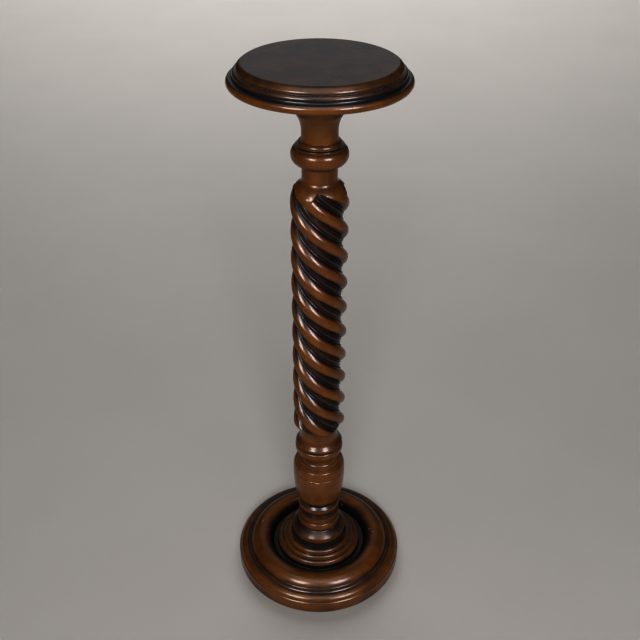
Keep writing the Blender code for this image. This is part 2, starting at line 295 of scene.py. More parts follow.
COAT_LOST_TO_MARKS = 0.5
COAT_ROUGHNESS = 0.2
RIPPLE_SIZE = 14 * MM
RIPPLE_HEIGHT = 0.4
FIBRE_HEIGHT = 0.04
SPECKLE_HEIGHT = 0.03
BUMP_DISTANCE = 0.4 * MM
BUMP_STRENGTH = 0.5

# Marks of wear, and one painted highlight: colour, degrees round from the front, and in mm radius, height,
# half sizes round, out and up.
COLUMN_MARKS = (
    (BARE_WOOD_AND_HIGHLIGHT, -4.6, 44, 208, 3.8, 2, 0.9),
    # A painted highlight: a pale spot on the flare's nose, where its left highlight falls.
    (BARE_WOOD_AND_HIGHLIGHT, -16, 44, 74, 0.9, 2, 0.9),
    (BARE_WOOD_AND_HIGHLIGHT, -27, 41, 737, 2.6, 3, 1.6),
)
BASE_MARKS = (
    (ORANGE_NICK, -105, 107.5, 43, 7, 1.2, 5),
    (ORANGE_NICK, 88, 101, 43, 1, 4.5, 4),
    (ORANGE_NICK, 93, 95, 42, 0.8, 3, 4),
    (BARE_WOOD_AND_HIGHLIGHT, -20, 61, 50, 4, 1, 3),
    (RED_NICK, 148, 87.5, 38, 2.4, 1.5, 3),
)
TOP_MARKS = (
    (BARE_WOOD_AND_HIGHLIGHT, 66, 113.5, 903, 1.6, 3, 1.2),
)
MARK_UNEVENNESS = 0.8
MARK_REACH = 1.3
MARK_EDGE = (0.2, 0.5)

# The camera: the focal length is in pixels of a picture that is IMAGE_PIXELS wide.
FOCAL_PIXELS = 876.03
IMAGE_PIXELS = 640
SENSOR_MM = 36
CAMERA_PLACE = (-0.0315, -1.1406, 1.2662)
CAMERA_PITCH = math.radians(33.378)
CAMERA_YAW = math.radians(1.638)
CAMERA_ROLL = math.radians(-0.1895)

# The studio.
LIGHT_ASIDE = 0.87
LIGHT_FORWARD = 1.34
LIGHT_HEIGHT = 1.6
LIGHT_SIZE = 0.7
LIGHT_POWER = 34
LEFT_LIGHT_COLOUR = (1, 0.94, 0.92)
RIGHT_LIGHT_COLOUR = (0.96, 0.92, 1)
LIGHT_TARGET_HEIGHT = 0.5
FRONT_LIGHT_PLACE = (-0.03, -2.5, 2)
FRONT_LIGHT_SIZE = 1.2
FRONT_LIGHT_POWER = 95
OVERHEAD_LIGHT_PLACE = (0, -0.7, 2.9)
OVERHEAD_LIGHT_SIZE = 2.2
OVERHEAD_LIGHT_POWER = 36
BACK_LIGHT_PLACE = (0, 2.6, 2.2)
BACK_LIGHT_SIZE = 2.4
BACK_LIGHT_POWER = 9
FLOOR_LIGHT_PLACE = (0, 6.5, 4)
FLOOR_LIGHT_SIZE = 7
FLOOR_LIGHT_POWER = 620
WORLD_COLOUR = (0.78, 0.84, 0.92)
WORLD_STRENGTH = 0.05
DISPLAY_GAMMA = 0.62
FLOOR_RADIUS = 14
FLOOR_SIDES = 96
FLOOR_COLOUR = (0.40, 0.38, 0.36)
FLOOR_ROUGHNESS = 0.7
FLOOR_CLOUD_SIZE = 400 * MM
FLOOR_CLOUD_RANGE = (0.2, 0.8)
FLOOR_CLOUD_LIGHTER = 1.04


class Outline:
    """A turned outline from the top down, with how dark the polish is at each point."""

    def __init__(self, height):
        self.points = [(0, height)]
        self.darkness = [START_DARKNESS]

    def add(self, radius, height, dark, share):
        """Adds a point part of the way along a run, whose darkness is one number or a few along it."""
        stops = dark if isinstance(dark, tuple) else (dark,)
        self.points.append((radius, height))
        self.darkness.append(float(np.interp(share, np.linspace(0, 1, len(stops)), stops)))

    def to(self, radius, height, dark=0):
        """Ends a straight run at a radius and a height; a long one keeps the corners' patina and painted
        shade narrow.
        """
        start_radius, start_height = self.points[-1]
        length = math.hypot(radius - start_radius, height - start_height)
        shares = (1,)
        if length > LONG_RUN:
            shares = (CORNER_PATINA_AND_SHADE / length, 1 - CORNER_PATINA_AND_SHADE / length, 1)
        for share in shares:
            x = start_radius + (radius - start_radius) * share
            self.add(x, start_height + (height - start_height) * share, dark, share)

    def down(self, radius, drop, bulge=0, dark=0, step=0):
        """Ends a moulding at a radius, lower down by drop; a bulge bends it, in steps that look smooth."""
        start_radius, start_height = self.points[-1]
        if bulge == 0:
            self.to(radius, start_height - drop, dark)
            return
        run = radius - start_radius
        chord = math.hypot(run, drop)
        half_turn = 2 * math.atan(2 * bulge)
        curve_radius = chord / (2 * math.sin(abs(half_turn)))
        side = math.copysign(curve_radius * math.cos(half_turn), bulge)
        centre_radius = start_radius + run / 2 - drop / chord * side
        centre_height = start_height - drop / 2 - run / chord * side
        first = math.atan2(start_height - centre_height, start_radius - centre_radius)
        smooth_step = step or math.sqrt(8 * curve_radius * SMOOTHNESS)
        steps = max(FEWEST_STEPS, math.ceil(chord / smooth_step))
        for count in range(1, steps + 1):
            share = count / steps
            angle = first - 2 * half_turn * share
            x = centre_radius + curve_radius * math.cos(angle)
            self.add(x, centre_height + curve_radius * math.sin(angle), dark, share)

    def rows(self, drop, count, dark=0):
        """Goes straight down in even rows."""
        radius, start_height = self.points[-1]
        for row in range(1, count + 1):
            self.add(radius, start_height - drop * row / count, dark, row / count)

    def turns(self):
        """How far the outline turns at each point: above zero at an outer corner, below zero in a quirk."""
        corners = [0]
        for before, here, after in zip(self.points, self.points[1:], self.points[2:]):
            first = Vector(here) - Vector(before)
            second = Vector(after) - Vector(here)
            corners.append(first.angle_signed(second, 0))
        return corners + [0]


def top_outline():
    """The top: a flat, an eased edge, a quirk and bead, a cove, and a big half round."""
    low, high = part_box("top")
    thickness = high[2] - low[2]
    round_height = thickness + TOP_ROUND_HANG - TOP_EDGE_DROP - TOP_BEAD_DROP - TOP_COVE_DROP
    round_radius = high[0] - round_height / 2
    bead_radius = round_radius - TOP_COVE_WIDTH
    edge_radius = bead_radius - TOP_BEAD_WIDTH
    outline = Outline(high[2])
    outline.to(edge_radius - TOP_EDGE_WIDTH, high[2], dark=(0.7, 0.65))
    turn_radius = edge_radius - TOP_EDGE_TURN_WIDTH
    outline.down(turn_radius, TOP_EDGE_DROP - TOP_EDGE_TURN_DROP, TOP_EDGE_BULGE, dark=(0.6, 0.45))
    outline.down(edge_radius, TOP_EDGE_TURN_DROP, TOP_EDGE_TURN_BULGE, dark=(0.45, 0.45, 0.7))
    # Painted shade: black in the quirk, the cove and underneath, and darker towards the half round's lower
    # edge.
    outline.down(edge_radius, FILLET, dark=1)
    outline.down(bead_radius, TOP_BEAD_DROP - FILLET, TOP_BEAD_BULGE, dark=(0.9, 0.6, 0.6, 0.9))
    outline.down(round_radius, TOP_COVE_DROP, TOP_COVE_BULGE, dark=1)
    outline.down(round_radius, round_height, HALF_ROUND, dark=(1, 0.9, 0.5, 0.1, 0, 0, 0, 0, 0.3, 0.9))
    outline.down(round_radius - 2 * TOP_ROUND_HANG, -TOP_ROUND_HANG, dark=1)
    outline.to(0, low[2], dark=1)
    return outline


def capital_and_neck(outline):
    """The band under the top, its flare, and the upper neck."""
    # Painted shadow under the top: dark on the column's top face, the band and the top of the flare.
    outline.to(CAPITAL_RADIUS, outline.points[0][1], dark=0.8)
    outline.down(CAPITAL_RADIUS, CAPITAL_BAND, dark=0.5)
    waist = NECK_RADIUS + (CAPITAL_RADIUS - NECK_RADIUS) * CAPITAL_WAIST_SHARE
    upper = CAPITAL_FLARE * CAPITAL_UPPER_SHARE
    outline.down(waist, upper, CAPITAL_UPPER_BULGE, dark=(0.5, 0.2))
    outline.down(NECK_RADIUS, CAPITAL_FLARE - upper, CAPITAL_LOWER_BULGE, dark=0.1)
    outline.down(NECK_RADIUS, NECK_HEIGHT, dark=(0.1, 0.3))


def collar_and_knop(outline):
    """The collar, its thin bead, and the round knop between the two necks."""
    # Painted shade in the quirks above and below the collar, and darker towards the knop's underside.
    outline.down(NECK_RADIUS + FILLET, 0, dark=0.8)
    outline.down(COLLAR_RADIUS, COLLAR_HEIGHT, COLLAR_BULGE, dark=0.5)
    outline.down(COLLAR_BEAD_RADIUS - FILLET, FILLET / 2, dark=1)
    bead_height = COLLAR_BEAD_HEIGHT - FILLET / 2
    outline.down(COLLAR_BEAD_RADIUS, bead_height, COLLAR_BEAD_BULGE, dark=0.6)
    upper = KNOP_HEIGHT * KNOP_UPPER_SHARE
    outline.down(KNOP_RADIUS, upper, KNOP_UPPER_BULGE, dark=(0.6, 0.2, 0))
    lower = KNOP_HEIGHT - upper
    outline.down(LOWER_NECK_RADIUS + 2 * FILLET, lower, KNOP_LOWER_BULGE, dark=(0, 0.1, 0.4))


def lower_neck_and_shoulder(outline):
    """The short neck under the knop, and the shoulder that the twist is cut into."""
    # Painted shade in the quirk under the knop.
    outline.down(LOWER_NECK_RADIUS + FILLET, LOWER_NECK_QUIRK_HEIGHT, dark=1)
    outline.down(LOWER_NECK_RADIUS, LOWER_NECK_STEP_HEIGHT, dark=0.6)
    under_step = LOWER_NECK_HEIGHT - LOWER_NECK_QUIRK_HEIGHT - LOWER_NECK_STEP_HEIGHT
    outline.down(LOWER_NECK_RADIUS, under_step - SHOULDER_FLARE_ABOVE, dark=0.25)
    flare = SHOULDER_FLARE_ABOVE + SHOULDER_FLARE_BELOW
    flare_radius = LOWER_NECK_RADIUS + SHOULDER_FLARE_WIDTH
    outline.down(flare_radius, flare, SHOULDER_FLARE_BULGE, dark=(0.25, 0.45))
    rest = SHOULDER_HEIGHT - SHOULDER_FLARE_BELOW
    outline.down(SHAFT_RADIUS, rest, SHOULDER_BULGE, dark=(0.45, 0.3, 0.1, 0), step=HEAD_ROW)


def shaft(outline):
    """The straight part of the shaft, in even rows for the carving, and its rounded foot."""
    length = outline.points[-1][1] - shaft_foot_height() - SHAFT_FOOT_ROUND
    outline.rows(HEAD_ROWS * HEAD_ROW, HEAD_ROWS)
    rest = length - HEAD_ROWS * HEAD_ROW
    outline.rows(rest, math.ceil(rest / SHAFT_ROW))
    foot_radius = SHAFT_RADIUS - SHAFT_FOOT_ROUND
    # Darker towards the underside of the rounded foot: painted shade.
    outline.down(foot_radius, SHAFT_FOOT_ROUND, QUARTER_ROUND, dark=(0, 0.2, 0.8))


def dome_and_cove(outline):
    """The neck and domed bead under the shaft, and the band and cove below them."""
    # Painted shadow under the shaft's foot: black in the quirk, and dark down the top of the neck.
    outline.down(DOME_NECK_RADIUS, FILLET, dark=1)
    outline.down(DOME_NECK_RADIUS, DOME_NECK_HEIGHT - DOME_COVE_HEIGHT - FILLET, dark=(0.7, 0.2))
    cove_end = DOME_NECK_RADIUS + DOME_COVE_WIDTH
    outline.down(cove_end, DOME_COVE_HEIGHT, DOME_COVE_BULGE, dark=(0.2, 0.4))
    outline.down(DOME_SLOPE_RADIUS, DOME_SLOPE_HEIGHT, DOME_SLOPE_BULGE, dark=(0.4, 0.3))
    outline.down(DOME_RADIUS, DOME_NOSE_HEIGHT, DOME_NOSE_BULGE, dark=(0.3, 0.2, 0.5))
    groove = DOME_HEIGHT - DOME_SLOPE_HEIGHT - DOME_NOSE_HEIGHT
    # Painted shade in the groove under the dome's nose.
    outline.down(BAND_QUIRK_RADIUS, groove / 2, dark=1)
    outline.down(BAND_QUIRK_RADIUS, groove / 2, dark=1)
    outline.down(BAND_RADIUS, BAND_BEAD_HEIGHT, BAND_BEAD_BULGE, dark=(0.5, 0.1, 0.2))
    outline.down(BAND_RADIUS, BAND_HEIGHT - BAND_BEAD_HEIGHT, dark=(0.2, 0.1))
    upper_cove = COVE_HEIGHT * COVE_UPPER_SHARE
    outline.down(COVE_RADIUS, upper_cove, COVE_UPPER_BULGE, dark=(0.1, 0.3))
    outline.down(STEP_RADIUS - FILLET, COVE_HEIGHT - upper_cove, COVE_LOWER_BULGE, dark=(0.3, 0.4, 0.3))


def vase(outline):
    """The two small steps and the vase-shaped swelling, with a fine line cut under its shoulder."""
    top_height = outline.points[-1][1]
    outline.down(STEP_RADIUS, 0, dark=0.3)
    outline.down(STEP_RADIUS, UPPER_STEP_HEIGHT, dark=0.2)
    outline.down(STEP_RADIUS + STEP_WIDTH, 0, dark=0.3)
    outline.down(STEP_RADIUS + STEP_WIDTH, LOWER_STEP_HEIGHT, dark=0.2)
    outline.down(STEP_RADIUS + 2 * STEP_WIDTH, 0)
    lip_radius = STEP_RADIUS + 2 * STEP_WIDTH + VASE_LIP_WIDTH
    outline.down(lip_radius, VASE_LIP_DROP, VASE_LIP_BULGE, dark=(0.3, 0.1))
    outline.down(VASE_RADIUS, VASE_SHOULDER_DROP, VASE_SHOULDER_BULGE)
    outline.down(VASE_RADIUS, VASE_LINE_DROP)
    # The cut line is dark with painted shade.
    outline.down(VASE_RADIUS - VASE_LINE_DEPTH, VASE_LINE_HEIGHT, dark=(0.9, 1))
    outline.down(VASE_RADIUS, VASE_LINE_LIP, VASE_LINE_LIP_BULGE, dark=(0.5, 0.1, 0))
    height = outline.points[-1][1] - top_height + VASE_HEIGHT
    outline.down(VASE_FOOT_RADIUS, height - VASE_FOOT_HEIGHT, VASE_BODY_BULGE)
    # Darker towards the vase's underside: painted shade.
    outline.down(RING_NECK_RADIUS, VASE_FOOT_HEIGHT, VASE_FOOT_BULGE, dark=(0, 0.2, 0.9))


def rings_and_foot(outline):
    """The rings, bead, flare and foot that the column stands on."""
    # Painted shade: black under the vase, in the quirks, the scotia and the foot's cove, and darker under the
    # ring and the bead.
    outline.down(RING_QUIRK_RADIUS, RING_UNDERCUT, dark=1)
    outline.down(RING_QUIRK_RADIUS, RING_QUIRK_HEIGHT, dark=1)
    outline.down(RING_SLOPE_RADIUS, RING_SLOPE_HEIGHT, dark=0.6)
    outline.down(RING_RADIUS, RING_NOSE_HEIGHT, RING_BULGE, dark=(0.5, 0.2))
    lower_ring = RING_HEIGHT - RING_UNDERCUT - RING_QUIRK_HEIGHT - RING_SLOPE_HEIGHT - RING_NOSE_HEIGHT
    outline.down(RING_NECK_RADIUS, lower_ring, RING_BULGE, dark=(0.2, 0.2, 0.6))
    upper_scotia = SCOTIA_HEIGHT * SCOTIA_UPPER_SHARE
    outline.down(SCOTIA_RADIUS, upper_scotia, dark=0.9)
    outline.down(SCOTIA_RADIUS, SCOTIA_HEIGHT - upper_scotia, dark=0.7)
    half_collaret = COLLARET_HEIGHT / 2
    outline.down(COLLARET_RADIUS - COLLARET_STEP, 0, dark=0.6)
    outline.down(COLLARET_RADIUS - COLLARET_STEP, half_collaret, dark=0.3)
    outline.down(COLLARET_RADIUS, 0, dark=0.5)
    outline.down(COLLARET_RADIUS, half_collaret, dark=0.3)
    outline.down(BEAD_QUIRK_RADIUS, FILLET, dark=1)
    outline.down(BEAD_RADIUS, BEAD_UPPER_HEIGHT, BEAD_UPPER_BULGE, dark=(0.8, 0.3, 0.2))
    lower_bead = BEAD_HEIGHT - BEAD_UPPER_HEIGHT - FILLET
    outline.down(FLARE_NECK_RADIUS, lower_bead, BEAD_LOWER_BULGE, dark=(0.1, 0.2, 0.9))
    outline.down(FLARE_NECK_RADIUS, FLARE_NECK_HEIGHT, dark=1)
    outline.down(FLARE_SLOPE_RADIUS, FLARE_SLOPE_HEIGHT, FLARE_SLOPE_BULGE, dark=(0.9, 0.6, 0.5))
    outline.down(FLARE_RADIUS, FLARE_NOSE_HEIGHT, FLARE_NOSE_BULGE, dark=(0.5, 0.3))
    lower_flare = FLARE_HEIGHT - FLARE_NECK_HEIGHT - FLARE_SLOPE_HEIGHT - FLARE_NOSE_HEIGHT
    outline.down(FLARE_RADIUS, lower_flare, dark=0.25)
    neck = FOOT_HEIGHT * FOOT_NECK_SHARE
    outline.down(FOOT_NECK_RADIUS, neck, dark=1)
    outline.down(FOOT_RADIUS, FOOT_HEIGHT - neck, FOOT_BULGE, dark=1)


def shoulder_height():
    """Where the shoulder begins, under the lower neck."""
    capital = CAPITAL_BAND + CAPITAL_FLARE + NECK_HEIGHT
    below = COLLAR_HEIGHT + COLLAR_BEAD_HEIGHT + KNOP_HEIGHT + LOWER_NECK_HEIGHT
    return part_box("column")[1][2] - capital - below


def shaft_foot_height():
    """Where the shaft ends, on the neck above the dome."""
    foot = FOOT_HEIGHT + FLARE_HEIGHT + BEAD_HEIGHT + COLLARET_HEIGHT + SCOTIA_HEIGHT + RING_HEIGHT
    below = VASE_HEIGHT + COVE_HEIGHT + BAND_HEIGHT + DOME_HEIGHT + DOME_NECK_HEIGHT
    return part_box("column")[0][2] + foot + below


def column_outline():
    """The whole column before it is carved."""
    low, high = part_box("column")
    outline = Outline(high[2])
    capital_and_neck(outline)
    collar_and_knop(outline)
    lower_neck_and_shoulder(outline)
    shaft(outline)
    dome_and_cove(outline)
    vase(outline)
    rings_and_foot(outline)
    # Black underneath: painted shade.
    outline.to(0, low[2], dark=1)
    return outline


def base_outline():
    """The base: the seat's rings, a deep channel, a broad round, a fillet and an ovolo over a plain edge."""
    low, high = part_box("base")
    rim = high[0]
    outline = Outline(high[2])
    outline.to(FOOT_RADIUS + SEAT_RIM_WIDTH, high[2], dark=0.5)
    # Painted shade: black in the quirks and the channel, and darker by them on the rings and at the broad
    # round's ends.
    for _ in range(SEAT_RINGS):
        radius = outline.points[-1][0]
        ring_radius = radius + SEAT_RING_WIDTH - FILLET
        outline.down(ring_radius, SEAT_RING_DROP, SEAT_RING_BULGE, dark=(0.7, 0.35, 0.15, 0.4))
        outline.down(radius + SEAT_RING_WIDTH, 0, dark=1)
    channel_radius = outline.points[-1][0] + FILLET
    outline.down(channel_radius, CHANNEL_DEPTH, dark=1)
    outline.down(channel_radius + CHANNEL_WIDTH * CHANNEL_FLAT_SHARE, 0, dark=1)
    ovolo_end = rim - BASE_LEDGE_WIDTH
    fillet_end = ovolo_end - BASE_OVOLO_WIDTH
    round_end = fillet_end - BASE_FILLET_WIDTH - FILLET
    round_start = channel_radius + CHANNEL_WIDTH
    round_foot = BASE_EDGE_HEIGHT + BASE_OVOLO_DROP + BASE_FILLETS * FILLET
    outline.to(round_start, round_foot + FILLET, dark=1)
    rise = BASE_ROUND_RISE / (round_end - round_start)
    outline.down(round_end, FILLET, rise, dark=(1, 0.85, 0.5, 0.2, 0, 0, 0, 0, 0.15, 0.5))
    outline.down(round_end + FILLET, FILLET, dark=1)
    outline.down(fillet_end, FILLET, dark=0.55)
    outline.down(fillet_end + FILLET, FILLET, dark=0.8)
    # The ovolo darker at its top and foot, the edge darker towards the bottom, and black underneath: painted
    # shade.
    outline.down(ovolo_end, BASE_OVOLO_DROP, BASE_OVOLO_BULGE, dark=(0.7, 0.45, 0.25, 0.15, 0.15, 0.3))
    outline.down(rim, FILLET, dark=0.3)
    outline.to(rim, BASE_EASED_EDGE, dark=(0.1, 0.1, 0.5))
    outline.to(rim - BASE_EASED_EDGE, low[2], dark=1)
    outline.to(0, low[2], dark=1)
    return outline


def turned(name, outline, sides):
    """Draws the outline point by point, eases its corners, and spins it about the Z axis."""
    bpy.ops.object.select_all(action="DESELECT")
    bpy.ops.mesh.primitive_circle_add(vertices=3, radius=EASED_CORNER)
    piece = bpy.context.object
    piece.name = name
    piece.data.name = name
    bpy.ops.object.mode_set(mode="EDIT")
    bpy.ops.mesh.select_mode(type="VERT")
    bpy.ops.mesh.merge(type="CENTER")
    radius, height = outline.points[0]
    bpy.ops.transform.translate(value=(radius, 0, height))
    for before, here in zip(outline.points, outline.points[1:]):
        step = (here[0] - before[0], 0, here[1] - before[1])
        bpy.ops.mesh.extrude_region_move(TRANSFORM_OT_translate={"value": step})
    bpy.ops.object.mode_set(mode="OBJECT")
    for vertex, turn in zip(piece.data.vertices, outline.turns()):
        vertex.select = abs(turn) > SHARP_CORNER
    for edge in piece.data.edges:
        edge.select = False
    bpy.ops.object.mode_set(mode="EDIT")
    bpy.ops.mesh.bevel(affect="VERTICES", offset=EASED_CORNER, segments=EASED_CORNER_STEPS)
    bpy.ops.mesh.select_all(action="SELECT")
    bpy.ops.mesh.spin(steps=sides, angle=math.tau, center=(0, 0, 0), axis=(0, 0, 1))
    bpy.ops.mesh.select_all(action="SELECT")
    bpy.ops.mesh.remove_doubles(threshold=MERGE_DISTANCE)
    bpy.ops.mesh.normals_make_consistent(inside=False)
    bpy.ops.object.mode_set(mode="OBJECT")
    return piece


def polar_places(mesh):
    """The angle, radius and height of every point of a mesh."""
    places = np.empty(len(mesh.vertices) * 3)
    mesh.vertices.foreach_get("co", places)
    places = places.reshape(-1, 3)
    return np.arctan2(places[:, 1], places[:, 0]), np.hypot(places[:, 0], places[:, 1]), places[:, 2]


def patina_and_shade_on(mesh, outline):
    """How dark with patina and painted shade, and how worn, the polish is at every point, from the nearest
    point of the outline.
    """
    tree = KDTree(len(outline.points))
    for index, (radius, height) in enumerate(outline.points):
        tree.insert((radius, height, 0), index)
    tree.balance()
    angles, radii, heights = polar_places(mesh)
    nearest = [tree.find((radius, height, 0))[1] for radius, height in zip(radii, heights)]
    turns = np.array(outline.turns())
    sharp = np.clip((np.abs(turns) - SHARP_CORNER) / SHARP_CORNER, 0, 1)
    # Every quirk, an inner corner of the outline, gets painted shade.
    in_quirk = np.where(turns > 0, sharp, 0) * QUIRK_PATINA_AND_SHADE
    on_edge = np.where(turns < 0, sharp, 0)
    dark = np.maximum(np.array(outline.darkness), in_quirk)
    return dark[nearest], on_edge[nearest]


def store(mesh, name, values):
    """Keeps a number for every point, for the material to read."""
    attribute = mesh.attributes.new(name, "FLOAT", "POINT")
    attribute.data.foreach_set("value", values)


def smooth_rise(values, start, end):
    """Rises from 0 at start to 1 at end, gently at both."""
    share = np.clip((values - start) / (end - start), 0, 1)
    return share * share * (3 - 2 * share)


def twist_section(across):
    """The depth of the carving across one pitch, with its three reeds, and how dark it is with patina and
    painted shade.
    """
    aside = np.abs(across)
    flank = np.clip((HALF_PITCH - aside) / (HALF_PITCH - HOLLOW_EDGE), 0, 1)
    strand = STRAND_DEPTH * (1 - np.cos(flank * math.pi / 2)) ** STRAND_POWER
    side_middle = (MIDDLE_QUIRK + SIDE_QUIRK) / 2
    side_half = (SIDE_QUIRK - MIDDLE_QUIRK) / 2
    side = SIDE_REED_DEPTH + REED_RISE * ((aside - side_middle) / side_half) ** 2
    middle = MIDDLE_REED_DEPTH + REED_RISE * (aside / MIDDLE_QUIRK) ** 2
    depth = np.where(aside < MIDDLE_QUIRK, middle, np.where(aside < SIDE_QUIRK, side, strand))
    quirk = np.exp(-((aside - MIDDLE_QUIRK) / QUIRK_WIDTH) ** 2)
    quirk = np.maximum(quirk, np.exp(-((aside - SIDE_QUIRK) / QUIRK_WIDTH) ** 2))
    left_dark = smooth_rise(aside, *LEFT_PATINA_AND_SHADE_EDGE)
    right_dark = smooth_rise(aside, *RIGHT_PATINA_AND_SHADE_EDGE)
    dark = np.where(across < 0, left_dark, right_dark)
    return depth + QUIRK_DEPTH * quirk, dark * (HOLLOW_DARKNESS + QUIRK_SHADE_DARKNESS * quirk)


def carve_twist(mesh, dark):
    """Turns each point with the lead, and moves it in to the carving's floor; returns the new darkness."""
    head = shoulder_height() - HOLLOW_HEAD_DROP
    foot = shaft_foot_height()
    angles, radii, heights = polar_places(mesh)
    even = angles / math.tau * STARTS
    even -= np.round(even)
    hollow_half = POINTS_IN_HOLLOW / POINTS_PER_START / 2
    aside = np.abs(even)
    inner = aside * HOLLOW_EDGE / hollow_half
    flank_share = (HALF_PITCH - HOLLOW_EDGE) / (HALF_PITCH - hollow_half)
    outer = HOLLOW_EDGE + (aside - hollow_half) * flank_share
    across = np.sign(even) * np.where(aside < hollow_half, inner, outer)
    turned_down = head - np.clip(heights, foot, shoulder_height())
    angles += (across - even) * math.tau / STARTS + turned_down / LEAD * math.tau + PHASE
    slope = math.atan2(LEAD, math.tau * SHAFT_RADIUS)
    sideways = SHAFT_RADIUS * across * math.tau / STARTS
    along = (head - heights) / math.sin(slope) + sideways * math.cos(slope)
    fade = np.clip(along / HOLLOW_END_LENGTH, 0, 1)
    depth, carved_dark = twist_section(across)
    carved = (heights > foot) & (heights < shoulder_height())
    floor = SHAFT_RADIUS - depth * fade
    radii_before = radii.copy()
    radii = np.where(carved, np.minimum(radii, floor), radii)
    places = np.stack((radii * np.cos(angles), radii * np.sin(angles), heights), axis=1)
    mesh.vertices.foreach_set("co", places.ravel())
    mesh.update()
    cut = np.clip((radii_before - radii) / MM + UNCUT_DARKNESS, 0, 1)
    return np.maximum(dark, np.where(carved, carved_dark * fade * cut, 0))


class Number:
    """A number worked out over a surface: Python's operators add Math nodes."""

    def __init__(self, finish, socket):
        self.finish = finish
        self.socket = socket

    def worked(self, operation, first, second):
        return self.finish.node("ShaderNodeMath", {"operation": operation}, {0: first, 1: second})

    def __add__(self, other):
        return self.worked("ADD", self, other)

    def __radd__(self, other):
        return self.worked("ADD", other, self)

    def __sub__(self, other):
        return self.worked("SUBTRACT", self, other)

    def __rsub__(self, other):
        return self.worked("SUBTRACT", other, self)

    def __mul__(self, other):
        return self.worked("MULTIPLY", self, other)

    def __rmul__(self, other):
        return self.worked("MULTIPLY", other, self)

    def clipped(self, low, high):
        """Spreads low to high over 0 to 1, and holds it there."""
        return self.finish.node("ShaderNodeMapRange", {"interpolation_type": "SMOOTHSTEP"},
                                {"Value": self, "From Min": low, "From Max": high})


class Finish:
    """One material and its nodes."""

    def __init__(self, name):
        self.material = bpy.data.materials.new(name)
        self.material.use_nodes = True
        self.tree = self.material.node_tree
        self.shader = self.tree.nodes["Principled BSDF"]
        self.place = self.node("ShaderNodeTexCoord", output="Object")

    def node(self, kind, settings=None, sockets=None, output=0):
        """Adds a node: its settings first, then the values or links of its sockets."""
        made = self.tree.nodes.new(kind)
        for name, value in (settings or {}).items():
            setattr(made, name, value)
        for name, value in (sockets or {}).items():
            self.feed(made.inputs[name], value)
        return Number(self, made.outputs[output])

    def feed(self, socket, value):
        """Links or sets one socket."""
        if isinstance(value, Number):
            self.tree.links.new(value.socket, socket)
        elif socket.type == "RGBA":
            socket.default_value = (*value, 1)
        else:
            socket.default_value = value

    def mix(self, factor, first, second):
        """Goes from the first colour to the second as the factor rises."""
        return self.node("ShaderNodeMix", {"data_type": "RGBA"}, {0: factor, 6: first, 7: second}, output=2)

    def painted(self, name):
        """A number kept at the mesh's points."""
        return self.node("ShaderNodeAttribute", {"attribute_name": name}, output="Fac")

    def mark(self, around, radius, height, sizes, speckle):
        """A small uneven patch at one place on the stand: 1 inside, 0 outside."""
        middle = (radius * math.sin(around), -radius * math.cos(around), height)
        offset = self.node("ShaderNodeVectorMath", {"operation": "SUBTRACT"}, {0: self.place, 1: middle})
        turned_back = self.node("ShaderNodeVectorRotate", {"rotation_type": "Z_AXIS"},
                                {"Vector": offset, "Angle": -around})
        shares = self.node("ShaderNodeVectorMath", {"operation": "DIVIDE"}, {0: turned_back, 1: sizes})
        away = self.node("ShaderNodeVectorMath", {"operation": "LENGTH"}, {0: shares}, output="Value")
        return (MARK_REACH - away + (speckle - MIDDLE) * MARK_UNEVENNESS).clipped(*MARK_EDGE)

    def noise(self, size, stretch=(1, 1, 1), detail=3, roughness=0.5, offset=0):
        """Cloudy noise whose lumps are about size across, longer along an axis whose stretch is large."""
        scale = [1 / (size * part) for part in stretch]
        mapped = self.node("ShaderNodeMapping", {},
                           {"Vector": self.place, "Location": (offset,) * 3, "Scale": scale})
        return self.node("ShaderNodeTexNoise", {},
                         {"Vector": mapped, "Scale": 1, "Detail": detail, "Roughness": roughness})


